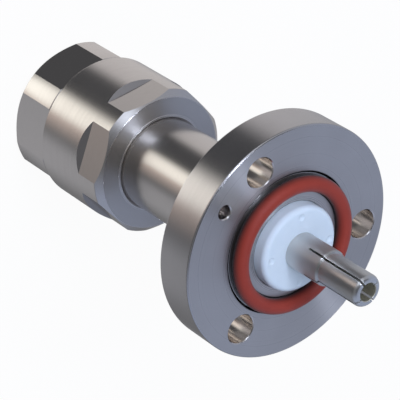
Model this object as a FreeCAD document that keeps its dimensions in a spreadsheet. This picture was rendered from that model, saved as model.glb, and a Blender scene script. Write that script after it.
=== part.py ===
# Coaxial cable connector: a round bolt-on flange on a neck, a sleeve with wrench flats and a clamping nut.
# The axis is Z. The origin is the centre of the nut's rear face, and the pin points up.
import FreeCAD, Part
import Sketcher
import os
from FreeCAD import Vector

# Driving sizes in millimetres and degrees: name, value, meaning
SIZES = [
    ("nut_step", 0.2, "back nut, how much smaller than the sleeve it is in radius"),
    ("nut_flat_depth", 1.25, "back nut, depth of a wrench flat"),
    ("nut_hex_length", 13.2, "back nut, rear face to front shoulder"),
    ("nut_rear_bevel", 1.35, "back nut, bevel of the rear face, across"),
    ("nut_rear_bevel_length", 1.5, "back nut, bevel of the rear face, along the axis"),
    ("nut_front_break", 0.25, "back nut, edge break of the front shoulder"),
    ("nut_turn", 57.0, "back nut, direction of one flat"),
    ("cable_entry_lip", 0.6, "back nut, how far its mouth stands in from the bore"),
    ("cable_entry_length", 2.5, "back nut, length of the mouth"),
    ("cable_entry_bevel", 0.5, "back nut, bevel at the mouth"),
    ("nut_relief_wall", 0.8, "back nut, wall of the plain neck behind the thread"),
    ("thread_wall", 2.4, "sleeve, wall outside its thread"),
    ("thread_clearance", 0.05, "radial clearance of the thread"),
    ("thread_length", 6.1, "back nut, threaded length"),
    ("relief_length", 2.2, "back nut, length of that neck"),
    ("seal_bore_wall", 1.8, "sleeve, wall outside the sleeve seal"),
    ("body_radius", 18.4, "sleeve, outside"),
    ("body_length", 23.8, "sleeve, rear face to front face"),
    ("body_rear_break", 0.25, "sleeve, edge break at the rear"),
    ("body_front_bevel", 1.6, "sleeve, front bevel across"),
    ("body_bevel_length", 1.5, "sleeve, front bevel along the axis"),
    ("body_flat_depth", 1.25, "sleeve, depth of a wrench flat"),
    ("body_flat_length", 8.0, "sleeve, wrench flat from the front face"),
    ("body_flat_ramp", 1.15, "sleeve, run-out of a flat along the axis for each unit of depth"),
    ("body_turn", 47.0, "sleeve, direction of one wrench flat"),
    ("flat_count", 6, "wrench flats on sleeve and nut"),
    ("thread_spare", 2.5, "sleeve, threaded bore in front of the nut"),
    ("clamp_bore_wall", 3.7, "sleeve, wall outside the clamp segments"),
    ("front_wall", 5.0, "sleeve, wall that holds the tube"),
    ("tube_mouth_bevel", 0.7, "sleeve, bevel where the tube comes out"),
    ("tube_radius", 11.5, "tube, outside"),
    ("tube_wall", 1.53, "tube, wall"),
    ("neck_length", 38.0, "tube, sleeve to flange"),
    ("neck_fillet", 0.8, "tube, fillet at the flange"),
    ("flange_margin", 6.35, "flange, circle of the bolt holes to the rim"),
    ("flange_thickness", 10.0, "flange, thickness"),
    ("flange_break", 0.3, "flange, edge break of both rims"),
    ("bolt_circle_radius", 22.225, "flange, circle of the bolt holes"),
    ("bolt_hole_radius", 3.57, "flange, bolt hole"),
    ("bolt_hole_count", 3, "flange, bolt holes"),
    ("bolt_hole_bevel", 0.15, "flange, bevel at the mouths of the bolt holes"),
    ("locating_hole_radius", 1.6, "flange, hole for a locating pin"),
    ("locating_offset", 0.775, "flange, locating hole outside the circle of the bolt holes"),
    ("locating_turn", 150.0, "flange, direction of the locating hole"),
    ("locating_depth", 7.0, "flange, depth of the locating hole"),
    ("locating_bevel", 0.15, "flange, bevel at the mouth of the locating hole"),
    ("lip_wall", 2.5, "contact lip, thickness round the front insulator"),
    ("lip_height", 0.8, "contact lip, above the flange face"),
    ("lip_break", 0.12, "contact lip, edge break"),
    ("groove_width", 4.28, "seal groove, lip to its outer wall"),
    ("groove_depth", 0.4, "seal groove, depth"),
    ("groove_relief_width", 0.41, "seal groove, relief along its outer wall, width"),
    ("groove_relief_depth", 1.8, "seal groove, relief below the flange face"),
    ("seal_section_radius", 1.86, "flange seal, half its thickness"),
    ("front_seat_step", 0.61, "front insulator's seat, step outside the tube's bore"),
    ("bead_clearance", 0.08, "radial clearance of the front insulator in its seat"),
    ("front_bead_depth", 7.0, "front insulator, below the flange face"),
    ("front_bead_height", 4.1, "front insulator, above the flange face"),
    ("front_bead_fillet", 1.3, "front insulator, rounded shoulder"),
    ("dimple_radius", 0.85, "front insulator, dimple at the surface"),
    ("dimple_depth", 0.4, "front insulator, depth of a dimple"),
    ("dimple_floor_radius", 0.4, "front insulator, floor of a dimple"),
    ("dimple_inset", 2.2, "front insulator, dimples inside its outline"),
    ("dimple_count", 4, "front insulator, dimples"),
    ("bead_turn", 7.0, "front insulator, direction of one dimple"),
    ("rod_radius", 4.33, "inner conductor, outside"),
    ("rod_reach", 14.3, "inner conductor, full thickness up to here above the flange face"),
    ("pin_step", 0.48, "inner conductor, step down to the slotted end"),
    ("pin_reach", 26.7, "inner conductor, tip above the flange face"),
    ("pin_step_bevel", 0.3, "inner conductor, bevel at its step and rear end"),
    ("pin_tip_fillet", 1.25, "inner conductor, rounded tip"),
    ("pin_wall", 1.65, "inner conductor, wall of the slotted end"),
    ("pin_bore_bevel", 0.15, "inner conductor, bevel at the bore's mouth"),
    ("pin_bore_depth", 19.0, "inner conductor, depth of that bore"),
    ("slot_width", 0.5, "inner conductor, slots"),
    ("slot_length", 17.2, "inner conductor, slots from the tip"),
    ("slot_count", 4, "inner conductor, slots"),
    ("pin_turn", 38.0, "inner conductor, direction of one slot"),
    ("rod_rear_gap", 2.0, "inner conductor, its rear end behind the tube's rear end"),
    ("stud_radius", 2.1, "cable contact, stud in the inner conductor"),
    ("stud_length", 6.0, "cable contact, length of the stud"),
    ("stud_bevel", 0.4, "cable contact, bevel of the stud's end"),
    ("stud_spare", 1.0, "inner conductor, spare depth beyond the stud"),
    ("rod_waist_depth", 0.63, "inner conductor, depth of the waist inside the rear insulator"),
    ("stop_radius", 4.8, "cable contact, collar that stops the cable's inner tube"),
    ("stop_length", 1.2, "cable contact, length of the collar"),
    ("basket_radius", 3.75, "cable contact, slotted basket"),
    ("basket_bulge", 0.4, "cable contact, bulge of the basket"),
    ("basket_length", 8.5, "cable contact, length of the basket"),
    ("basket_nose", 1.6, "cable contact, taper at each end of the bulge"),
    ("basket_crest", 2.0, "cable contact, length of the bulge at full thickness"),
    ("basket_wall", 1.25, "cable contact, wall of the basket"),
    ("basket_bore_depth", 8.0, "cable contact, depth of that bore"),
    ("basket_slot_width", 0.7, "cable contact, slots"),
    ("basket_slot_length", 7.5, "cable contact, slots from the rear end"),
    ("basket_slot_count", 6, "cable contact, slots"),
    ("rear_seat_step", 0.38, "rear insulator's seat, step outside the tube's bore"),
    ("rear_bead_length", 5.7, "rear insulator, length"),
    ("rear_bead_hole_radius", 1.5, "rear insulator, air holes"),
    ("rear_bead_hole_count", 6, "rear insulator, air holes"),
    ("rear_bead_slit", 0.4, "rear insulator, slit that lets it over the rod"),
    ("retainer_length", 0.8, "retaining ring behind the rear insulator, thickness"),
    ("retainer_width", 1.25, "retaining ring, width across its section"),
    ("retainer_gap", 2.0, "retaining ring, gap in the ring"),
    ("contact_clearance", 0.1, "outer contact ring, radial clearance in the sleeve"),
    ("contact_rim_length", 0.8, "outer contact ring, rim"),
    ("contact_rim_width", 1.2, "outer contact ring, rim outside the cone"),
    ("contact_cone_length", 3.0, "outer contact ring, cone for the flared sheath, at 45 degrees"),
    ("contact_nose_wall", 0.43, "outer contact ring, wall at the cone's nose"),
    ("clamp_count", 6, "clamp segments"),
    ("clamp_gap_angle", 4.0, "clamp segments, gap between two of them in degrees"),
    ("clamp_clearance", 0.15, "clamp segments, radial clearance in the sleeve"),
    ("clamp_rear_wall", 1.75, "clamp segments, thickness at the rear"),
    ("clamp_grip_wall", 3.05, "clamp segments, thickness at the rib in the sheath's valley"),
    ("clamp_grip_length", 0.9, "clamp segments, length of the rib"),
    ("clamp_grip_ramp", 1.0, "clamp segments, ramp behind the rib"),
    ("clamp_front_wall", 0.7, "clamp segments, thickness at the front"),
    ("clamp_cone_length", 2.8, "clamp segments, inner cone"),
    ("clamp_length", 9.2, "clamp segments, length"),
    ("spring_section_radius", 0.5, "clamp spring, half its thickness"),
    ("spring_groove_spare", 0.15, "clamp segments, room beside the spring in its groove"),
    ("spring_groove_depth", 0.95, "clamp segments, depth of that groove"),
    ("spring_groove_start", 3.4, "clamp segments, rear end to the groove"),
    ("pressure_clearance", 0.05, "pressure sleeve, radial clearance in the nut"),
    ("pressure_wall", 0.8, "pressure sleeve, wall"),
    ("gasket_length", 8.5, "jacket gasket, length"),
    ("gasket_wall", 0.7, "jacket gasket, wall between its ridges"),
    ("gasket_ridge_height", 0.35, "jacket gasket, height of a ridge"),
    ("gasket_ridge_count", 3, "jacket gasket, ridges"),
    ("gasket_ridge_width", 0.6, "jacket gasket, half the foot of a ridge"),
    ("body_seal_radius", 0.48, "sleeve seal, half its thickness"),
    ("seal_clearance", 0.02, "rings of round section, gap to the wall they sit round"),
    ("cut_margin", 1.0, "how far a cut reaches past the piece"),
]


class Size:
    """A length that carries both its number and the expression that binds it to the sheet."""

    def __init__(self, text, number):
        self.text = text
        self.number = number

    def joined(self, sign, other, number):
        other_text = other.text if isinstance(other, Size) else str(other)
        return Size("(" + self.text + " " + sign + " " + other_text + ")", number)

    def __add__(self, other):
        return self.joined("+", other, self.number + number_of(other))

    def __sub__(self, other):
        return self.joined("-", other, self.number - number_of(other))

    def __mul__(self, other):
        return self.joined("*", other, self.number * number_of(other))

    def __truediv__(self, other):
        return self.joined("/", other, self.number / number_of(other))

    def __neg__(self):
        return Size("(0 - " + self.text + ")", -self.number)


def number_of(value):
    return value.number if isinstance(value, Size) else value


doc = FreeCAD.newDocument("coaxial_connector")
sheet = doc.addObject("Spreadsheet::Sheet", "sizes")
size = {}
for row, (alias, value, meaning) in enumerate(SIZES, start=1):
    sheet.set("A" + str(row), meaning)
    sheet.set("B" + str(row), str(value))
    sheet.setAlias("B" + str(row), alias)
    size[alias] = Size("sizes." + alias, value)
doc.recompute()

ON_AXIS = Size("0", 0.0)
FULL_TURN = 360.0
TOLERANCE = 1e-4

# Radii of the sleeve and of what sits in it, from the outside in
sleeve_outside = size["body_radius"]
seal_bore = sleeve_outside - size["seal_bore_wall"]
thread_radius = sleeve_outside - size["thread_wall"]
clamp_bore = sleeve_outside - size["clamp_bore_wall"]
nut_outside = sleeve_outside - size["nut_step"]
nut_neck = seal_bore - (size["body_seal_radius"] + size["seal_clearance"]) * 2
nut_bore = nut_neck - size["nut_relief_wall"]
clamp_outside = clamp_bore - size["clamp_clearance"]

# Radii of the tube, its two insulator seats, the lip and the flange, from the inside out
tube_bore = size["tube_radius"] - size["tube_wall"]
rear_seat = tube_bore + size["rear_seat_step"]
front_seat = tube_bore + size["front_seat_step"]
front_bead_outside = front_seat - size["bead_clearance"]
lip_outside = front_seat + size["lip_wall"]
groove_outside = lip_outside + size["groove_width"]
relief_inside = groove_outside - size["groove_relief_width"]
flange_outside = size["bolt_circle_radius"] + size["flange_margin"]
locating_circle = size["bolt_circle_radius"] + size["locating_offset"]
waist_radius = size["rod_radius"] - size["rod_waist_depth"]
pin_radius = size["rod_radius"] - size["pin_step"]

# Places along the axis, from the rear face of the nut at zero
body_rear = size["nut_hex_length"]
body_front = body_rear + size["body_length"]
tube_rear = body_front - size["front_wall"]
flange_back = body_front + size["neck_length"]
flange_face = flange_back + size["flange_thickness"]
lip_top = flange_face + size["lip_height"]
groove_floor = flange_face - size["groove_depth"]
relief_floor = flange_face - size["groove_relief_depth"]
front_bead_seat = flange_face - size["front_bead_depth"]
front_bead_top = flange_face + size["front_bead_height"]
retainer_front = tube_rear + size["retainer_length"]
rear_bead_front = retainer_front + size["rear_bead_length"]
rod_rear = tube_rear - size["rod_rear_gap"]
rod_step = flange_face + size["rod_reach"]
pin_tip = flange_face + size["pin_reach"]
relief_end = body_rear + size["relief_length"]
nut_front = relief_end + size["thread_length"]
thread_end = nut_front + size["thread_spare"]
contact_rim = tube_rear - size["contact_rim_length"]
clamp_rear = contact_rim - size["clamp_length"]
gasket_rear = size["cable_entry_length"]
gasket_front = gasket_rear + size["gasket_length"]
spring_groove_width = (size["spring_section_radius"] + size["spring_groove_spare"]) * 2


def new_body(name):
    """One turned or moulded piece, named as its file will be."""
    body = doc.addObject("PartDesign::Body", name)
    body.Label = name
    return body


def origin_feature(body, role):
    for feature in body.Origin.OriginFeatures:
        if feature.Role == role:
            return feature


def new_sketch(body, name, role):
    sketch = body.newObject("Sketcher::SketchObject", name)
    sketch.AttachmentSupport = [(origin_feature(body, role), "")]
    sketch.MapMode = "FlatFace"
    return sketch


def bind_point(sketch, line, across, up):
    """Ties the start of a line to its distances from the sketch's origin."""
    for axis, kind, distance in ((-2, "DistanceX", across), (-1, "DistanceY", up)):
        if distance.text == "0":
            sketch.addConstraint(Sketcher.Constraint("PointOnObject", line, 1, axis))
            continue
        index = sketch.addConstraint(
            Sketcher.Constraint(kind, -1, 1, line, 1, distance.number))
        name = kind + "_" + str(line)
        sketch.renameConstraint(index, name)
        sketch.setExpression("Constraints." + name, distance.text)


def outline(sketch, corners):
    """A closed outline of straight edges through corners given as sizes."""
    count = len(corners)
    for index in range(count):
        here = Vector(corners[index][0].number, corners[index][1].number, 0)
        following = corners[(index + 1) % count]
        there = Vector(following[0].number, following[1].number, 0)
        sketch.addGeometry(Part.LineSegment(here, there), False)
    for index in range(count):
        sketch.addConstraint(
            Sketcher.Constraint("Coincident", index, 2, (index + 1) % count, 1))
    for index, (across, up) in enumerate(corners):
        bind_point(sketch, index, across, up)


def turned(body, name, corners, angle=None):
    """A piece turned on the lathe: its half section, given as radius and height, round the axis."""
    sketch = new_sketch(body, name + "_section", "XZ_Plane")
    outline(sketch, corners)
    revolution = body.newObject("PartDesign::Revolution", name)
    revolution.Profile = sketch
    revolution.ReferenceAxis = (sketch, ["V_Axis"])
    if angle is None:
        revolution.Angle = FULL_TURN
    else:
        revolution.Midplane = True
        revolution.setExpression("Angle", angle.text)
    doc.recompute()
    return revolution


def cut_across(body, name, corners, width=None):
    """A cut along Y with this outline in the XZ plane, as wide as given or right through."""
    sketch = new_sketch(body, name + "_outline", "XZ_Plane")
    outline(sketch, corners)
    pocket = body.newObject("PartDesign::Pocket", name)
    pocket.Profile = sketch
    pocket.SideType = "Symmetric"
    if width is None:
        pocket.Type = "ThroughAll"
    else:
        pocket.Type = "Length"
        pocket.setExpression("Length", width.text)
    doc.recompute()
    return pocket


def around_axis(body, name, feature, count):
    """Repeats a feature evenly round the Z axis."""
    pattern = body.newObject("PartDesign::PolarPattern", name)
    pattern.Originals = [feature]
    pattern.Axis = (origin_feature(body, "Z_Axis"), [""])
    pattern.Angle = FULL_TURN
    pattern.setExpression("Occurrences", count.text)
    body.Tip = pattern
    doc.recompute()
    return pattern


def ring_edges(feature, radius, height, centre_distance=0.0):
    """Names of the round edges of this radius, at this height and distance from the axis."""
    names = []
    for index, edge in enumerate(feature.Shape.Edges, start=1):
        if edge.Curve.TypeId != "Part::GeomCircle":
            continue
        centre = edge.Curve.Center
        distance = (centre.x ** 2 + centre.y ** 2) ** 0.5
        differences = (edge.Curve.Radius - radius, centre.z - height, distance - centre_distance)
        if max(abs(difference) for difference in differences) < TOLERANCE:
            names.append("Edge" + str(index))
    return names


def dressed(body, kind, name, feature, edges, length):
    """A fillet or bevel of one size on the named edges."""
    dress = body.newObject("PartDesign::" + kind, name)
    dress.Base = (feature, edges)
    dress.setExpression("Radius" if kind == "Fillet" else "Size", length.text)
    body.Tip = dress
    doc.recompute()
    return dress


def turn_about_axis(piece, angle_text):
    piece.Placement = FreeCAD.Placement(Vector(0, 0, 0), FreeCAD.Rotation(Vector(0, 0, 1), 1))
    piece.setExpression("Placement.Rotation.Angle", angle_text)


def ring(name, ring_radius, section_radius, height):
    """A ring of round section that lies square to the axis."""
    torus = doc.addObject("Part::Torus", name)
    torus.Label = name
    torus.setExpression("Radius1", ring_radius.text)
    torus.setExpression("Radius2", section_radius.text)
    torus.setExpression("Placement.Base.z", height.text)
    return torus


def flange_tube():
    """Flange, contact lip, seal groove with its relief and neck tube, turned as one piece."""
    body = new_body("flange_tube")
    rim = flange_outside
    rim_break = size["flange_break"]
    lip = lip_outside
    lip_break = size["lip_break"]
    turned(body, "flange_turning", [
        (rear_seat, tube_rear),
        (size["tube_radius"], tube_rear),
        (size["tube_radius"], flange_back),
        (rim - rim_break, flange_back),
        (rim, flange_back + rim_break),
        (rim, flange_face - rim_break),
        (rim - rim_break, flange_face),
        (groove_outside, flange_face),
        (groove_outside, relief_floor),
        (relief_inside, relief_floor),
        (relief_inside, groove_floor),
        (lip, groove_floor),
        (lip, lip_top - lip_break),
        (lip - lip_break, lip_top),
        (front_seat + lip_break, lip_top),
        (front_seat, lip_top - lip_break),
        (front_seat, front_bead_seat),
        (tube_bore, front_bead_seat),
        (tube_bore, rear_bead_front),
        (rear_seat, rear_bead_front),
    ])
    neck_root = ring_edges(body.Tip, size["tube_radius"].number, flange_back.number)
    dressed(body, "Fillet", "neck_root_fillet", body.Tip, neck_root, size["neck_fillet"])

    bolt_hole = new_sketch(body, "bolt_hole_outline", "XY_Plane")
    add_bound_circle(bolt_hole, size["bolt_circle_radius"], size["bolt_hole_radius"])
    first_hole = body.newObject("PartDesign::Pocket", "bolt_hole")
    first_hole.Profile = bolt_hole
    first_hole.Type = "ThroughAll"
    first_hole.Reversed = True
    doc.recompute()
    holes = around_axis(body, "bolt_holes", first_hole, size["bolt_hole_count"])
    mouths = []
    for height in (flange_back, flange_face):
        mouths += ring_edges(holes, size["bolt_hole_radius"].number, height.number,
                             size["bolt_circle_radius"].number)
    dressed(body, "Chamfer", "bolt_hole_bevels", holes, mouths, size["bolt_hole_bevel"])

    locating = new_sketch(body, "locating_hole_outline", "XY_Plane")
    locating.AttachmentOffset = FreeCAD.Placement(
        Vector(0, 0, flange_face.number), FreeCAD.Rotation(Vector(0, 0, 1), 1))
    locating.setExpression("AttachmentOffset.Base.z", flange_face.text)
    locating.setExpression("AttachmentOffset.Rotation.Angle", size["locating_turn"].text)
    add_bound_circle(locating, locating_circle, size["locating_hole_radius"])
    doc.recompute()
    blind_hole = body.newObject("PartDesign::Hole", "locating_hole")
    blind_hole.Profile = locating
    blind_hole.DepthType = "Dimension"
    blind_hole.DrillPoint = "Angled"
    blind_hole.setExpression("Diameter", (size["locating_hole_radius"] * 2).text)
    blind_hole.setExpression("Depth", size["locating_depth"].text)
    body.Tip = blind_hole
    doc.recompute()
    mouth = ring_edges(blind_hole, size["locating_hole_radius"].number, flange_face.number,
                       locating_circle.number)
    dressed(body, "Chamfer", "locating_hole_bevel", blind_hole, mouth, size["locating_bevel"])
    return body


def add_bound_circle(sketch, distance, radius):
    """A circle on the sketch's X axis at a distance from its origin."""
    centre = Vector(distance.number, 0, 0)
    sketch.addGeometry(Part.Circle(centre, Vector(0, 0, 1), radius.number), False)
    sketch.addConstraint(Sketcher.Constraint("PointOnObject", 0, 3, -1))
    place = sketch.addConstraint(
        Sketcher.Constraint("DistanceX", -1, 1, 0, 3, distance.number))
    sketch.renameConstraint(place, "distance")
    sketch.setExpression("Constraints.distance", distance.text)
    width = sketch.addConstraint(Sketcher.Constraint("Radius", 0, radius.number))
    sketch.renameConstraint(width, "radius")
    sketch.setExpression("Constraints.radius", radius.text)


def flange_seal_ring():
    """Rubber ring of round section that sits round the contact lip in its groove."""
    section = size["seal_section_radius"]
    clearance = size["seal_clearance"]
    ring("flange_seal_ring", lip_outside + section + clearance, section,
         groove_floor + section + clearance)


def front_insulator():
    """Plastic bead in the flange that holds the inner conductor, with dimples in its face."""
    body = new_body("front_insulator")
    outside = front_bead_outside
    turned(body, "front_bead_turning", [
        (size["rod_radius"], front_bead_seat),
        (outside, front_bead_seat),
        (outside, front_bead_top),
        (size["rod_radius"], front_bead_top),
    ])
    shoulder = ring_edges(body.Tip, outside.number, front_bead_top.number)
    dressed(body, "Fillet", "front_bead_shoulder", body.Tip, shoulder,
            size["front_bead_fillet"])
    dimple = body.newObject("PartDesign::SubtractiveCone", "dimple")
    dimple.AttachmentSupport = [(origin_feature(body, "XY_Plane"), "")]
    dimple.MapMode = "FlatFace"
    dimple.setExpression("Radius1", size["dimple_floor_radius"].text)
    dimple.setExpression("Radius2", size["dimple_radius"].text)
    dimple.setExpression("Height", size["dimple_depth"].text)
    dimple.setExpression("AttachmentOffset.Base.x", (outside - size["dimple_inset"]).text)
    dimple.setExpression("AttachmentOffset.Base.z",
                         (front_bead_top - size["dimple_depth"]).text)
    doc.recompute()
    around_axis(body, "dimples", dimple, size["dimple_count"])
    turn_about_axis(body, size["bead_turn"].text)


def inner_conductor():
    """Rod through both insulators, with a slotted and bored end for the mating contact."""
    body = new_body("inner_conductor")
    rod = size["rod_radius"]
    bevel = size["pin_step_bevel"]
    waist = waist_radius
    pin = pin_radius
    bore = pin - size["pin_wall"]
    bore_bevel = size["pin_bore_bevel"]
    bore_end = pin_tip - size["pin_bore_depth"]
    stud_hole_end = rod_rear + size["stud_length"] + size["stud_spare"]
    turned(body, "rod_turning", [
        (ON_AXIS, stud_hole_end),
        (size["stud_radius"], stud_hole_end),
        (size["stud_radius"], rod_rear),
        (rod - bevel, rod_rear),
        (rod, rod_rear + bevel),
        (rod, retainer_front),
        (waist, retainer_front),
        (waist, rear_bead_front),
        (rod, rear_bead_front),
        (rod, rod_step - bevel),
        (rod - bevel, rod_step),
        (pin, rod_step),
        (pin, pin_tip),
        (bore + bore_bevel, pin_tip),
        (bore, pin_tip - bore_bevel),
        (bore, bore_end),
        (ON_AXIS, bore_end),
    ])
    tip = ring_edges(body.Tip, pin.number, pin_tip.number)
    dressed(body, "Fillet", "pin_tip_rounding", body.Tip, tip, size["pin_tip_fillet"])
    past_side = rod + size["cut_margin"]
    slot = cut_across(body, "pin_slot", [
        (ON_AXIS, pin_tip - size["slot_length"]),
        (past_side, pin_tip - size["slot_length"]),
        (past_side, pin_tip + size["cut_margin"]),
        (ON_AXIS, pin_tip + size["cut_margin"]),
    ], size["slot_width"])
    around_axis(body, "pin_slots", slot, size["slot_count"])
    turn_about_axis(body, size["pin_turn"].text)


def body_sleeve():
    """Sleeve that joins the tube to the nut, turned, with wrench flats milled at its front."""
    body = new_body("body_sleeve")
    outside = sleeve_outside
    rear_break = size["body_rear_break"]
    tube = size["tube_radius"]
    mouth_bevel = size["tube_mouth_bevel"]
    turned(body, "sleeve_turning", [
        (seal_bore, body_rear),
        (outside - rear_break, body_rear),
        (outside, body_rear + rear_break),
        (outside, body_front - size["body_bevel_length"]),
        (outside - size["body_front_bevel"], body_front),
        (tube + mouth_bevel, body_front),
        (tube, body_front - mouth_bevel),
        (tube, tube_rear),
        (clamp_bore, tube_rear),
        (clamp_bore, thread_end),
        (thread_radius, thread_end),
        (thread_radius, relief_end),
        (seal_bore, relief_end),
    ])
    flat = outside - size["body_flat_depth"]
    past_side = outside + size["cut_margin"]
    flat_end = body_front - size["body_flat_length"]
    ramp_end = flat_end - (past_side - flat) * size["body_flat_ramp"]
    first_flat = cut_across(body, "sleeve_flat", [
        (flat, flat_end),
        (past_side, ramp_end),
        (past_side, body_front + size["cut_margin"]),
        (flat, body_front + size["cut_margin"]),
    ])
    around_axis(body, "sleeve_flats", first_flat, size["flat_count"])
    turn_about_axis(body, size["body_turn"].text)


def back_nut():
    """Nut that closes the cable clamp: a rounded hexagon with a threaded spigot in front."""
    body = new_body("back_nut")
    outside = nut_outside
    front_break = size["nut_front_break"]
    spigot = thread_radius - size["thread_clearance"]
    entry = nut_bore - size["cable_entry_lip"]
    entry_bevel = size["cable_entry_bevel"]
    turned(body, "nut_turning", [
        (entry + entry_bevel, ON_AXIS),
        (outside - size["nut_rear_bevel"], ON_AXIS),
        (outside, size["nut_rear_bevel_length"]),
        (outside, body_rear - front_break),
        (outside - front_break, body_rear),
        (nut_neck, body_rear),
        (nut_neck, relief_end),
        (spigot, relief_end),
        (spigot, nut_front),
        (nut_bore, nut_front),
        (nut_bore, gasket_rear),
        (entry, gasket_rear),
        (entry, entry_bevel),
    ])
    flat = outside - size["nut_flat_depth"]
    past_side = outside + size["cut_margin"]
    first_flat = cut_across(body, "nut_flat", [
        (flat, -size["cut_margin"]),
        (past_side, -size["cut_margin"]),
        (past_side, body_rear + size["cut_margin"]),
        (flat, body_rear + size["cut_margin"]),
    ])
    around_axis(body, "nut_flats", first_flat, size["flat_count"])
    turn_about_axis(body, size["nut_turn"].text)


def rear_insulator():
    """Plastic bead at the tube's rear end, slit so that it snaps over the rod's waist."""
    body = new_body("rear_insulator")
    turned(body, "rear_bead_turning", [
        (waist_radius, retainer_front),
        (rear_seat, retainer_front),
        (rear_seat, rear_bead_front),
        (waist_radius, rear_bead_front),
    ])
    half_pitch = Size("180 / sizes.rear_bead_hole_count",
                      180.0 / size["rear_bead_hole_count"].number)
    place = new_sketch(body, "air_hole_outline", "XY_Plane")
    place.AttachmentOffset = FreeCAD.Placement(
        Vector(0, 0, 0), FreeCAD.Rotation(Vector(0, 0, 1), 1))
    place.setExpression("AttachmentOffset.Rotation.Angle", half_pitch.text)
    add_bound_circle(place, (waist_radius + rear_seat) / 2, size["rear_bead_hole_radius"])
    air_hole = body.newObject("PartDesign::Pocket", "air_hole")
    air_hole.Profile = place
    air_hole.Type = "ThroughAll"
    air_hole.Reversed = True
    doc.recompute()
    around_axis(body, "air_holes", air_hole, size["rear_bead_hole_count"])
    past_side = rear_seat + size["cut_margin"]
    cut_across(body, "slit", [
        (ON_AXIS, retainer_front - size["cut_margin"]),
        (past_side, retainer_front - size["cut_margin"]),
        (past_side, rear_bead_front + size["cut_margin"]),
        (ON_AXIS, rear_bead_front + size["cut_margin"]),
    ], size["rear_bead_slit"])


def retaining_ring():
    """Open spring ring that keeps the rear insulator in the tube."""
    body = new_body("retaining_ring")
    turned(body, "retaining_ring_turning", [
        (rear_seat - size["retainer_width"], tube_rear),
        (rear_seat, tube_rear),
        (rear_seat, retainer_front),
        (rear_seat - size["retainer_width"], retainer_front),
    ])
    past_side = rear_seat + size["cut_margin"]
    cut_across(body, "ring_gap", [
        (ON_AXIS, tube_rear - size["cut_margin"]),
        (past_side, tube_rear - size["cut_margin"]),
        (past_side, retainer_front + size["cut_margin"]),
        (ON_AXIS, retainer_front + size["cut_margin"]),
    ], size["retainer_gap"])


def outer_contact_ring():
    """Metal ring with a cone, against which the flared sheath of the cable is pressed."""
    body = new_body("outer_contact_ring")
    outside = clamp_bore - size["contact_clearance"]
    cone_foot = outside - size["contact_rim_width"]
    nose = cone_foot - size["contact_cone_length"]
    nose_rear = contact_rim - size["contact_cone_length"]
    bore = nose - size["contact_nose_wall"]
    turned(body, "contact_ring_turning", [
        (bore, nose_rear),
        (nose, nose_rear),
        (cone_foot, contact_rim),
        (outside, contact_rim),
        (outside, tube_rear),
        (bore, tube_rear),
    ])


def clamp_segment(number):
    """One of the metal segments that close round the cable's sheath."""
    name = "clamp_segment_" + str(number)
    body = new_body(name)
    outside = clamp_outside
    rear_bore = outside - size["clamp_rear_wall"]
    grip = outside - size["clamp_grip_wall"]
    cone_end = contact_rim - size["clamp_cone_length"]
    grip_end = cone_end - size["clamp_grip_length"]
    ramp_end = grip_end - size["clamp_grip_ramp"]
    groove_rear = clamp_rear + size["spring_groove_start"]
    groove_front = groove_rear + spring_groove_width
    groove_radius = outside - size["spring_groove_depth"]
    opening = Size("(360 / sizes.clamp_count - sizes.clamp_gap_angle)",
                   FULL_TURN / size["clamp_count"].number - size["clamp_gap_angle"].number)
    turned(body, name + "_turning", [
        (rear_bore, clamp_rear),
        (outside, clamp_rear),
        (outside, groove_rear),
        (groove_radius, groove_rear),
        (groove_radius, groove_front),
        (outside, groove_front),
        (outside, contact_rim),
        (outside - size["clamp_front_wall"], contact_rim),
        (grip, cone_end),
        (grip, grip_end),
        (rear_bore, ramp_end),
    ], opening)
    turn_about_axis(body, "360 / sizes.clamp_count * " + str(number - 1))


def segment_spring():
    """Round wire ring that holds the clamp segments together."""
    section = size["spring_section_radius"]
    groove_radius = clamp_outside - size["spring_groove_depth"]
    groove_middle = clamp_rear + size["spring_groove_start"] + spring_groove_width / 2
    ring("segment_spring", groove_radius + section + size["seal_clearance"], section,
         groove_middle)


def pressure_sleeve():
    """Thin metal sleeve between the jacket gasket and the clamp segments."""
    body = new_body("pressure_sleeve")
    outside = nut_bore - size["pressure_clearance"]
    bore = outside - size["pressure_wall"]
    turned(body, "pressure_sleeve_turning", [
        (bore, gasket_front),
        (outside, gasket_front),
        (outside, clamp_rear),
        (bore, clamp_rear),
    ])


def jacket_gasket():
    """Rubber sleeve in the nut that seals on the cable's jacket with rings of ridges."""
    body = new_body("jacket_gasket")
    bore = nut_bore - size["gasket_wall"]
    ridge_top = bore - size["gasket_ridge_height"]
    ridge_foot = size["gasket_ridge_width"]
    corners = [
        (nut_bore, gasket_rear),
        (nut_bore, gasket_front),
        (bore, gasket_front),
    ]
    ridge_count = int(size["gasket_ridge_count"].number)
    for number in range(ridge_count):
        middle = gasket_front - size["gasket_length"] * (number + 0.5) / ridge_count
        corners += [
            (bore, middle + ridge_foot),
            (ridge_top, middle),
            (bore, middle - ridge_foot),
        ]
    corners.append((bore, gasket_rear))
    turned(body, "gasket_moulding", corners)


def body_seal_ring():
    """Rubber ring of round section between the nut and the sleeve."""
    ring("body_seal_ring", (nut_neck + seal_bore) / 2,
         size["body_seal_radius"], body_rear + size["relief_length"] / 2)


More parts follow.
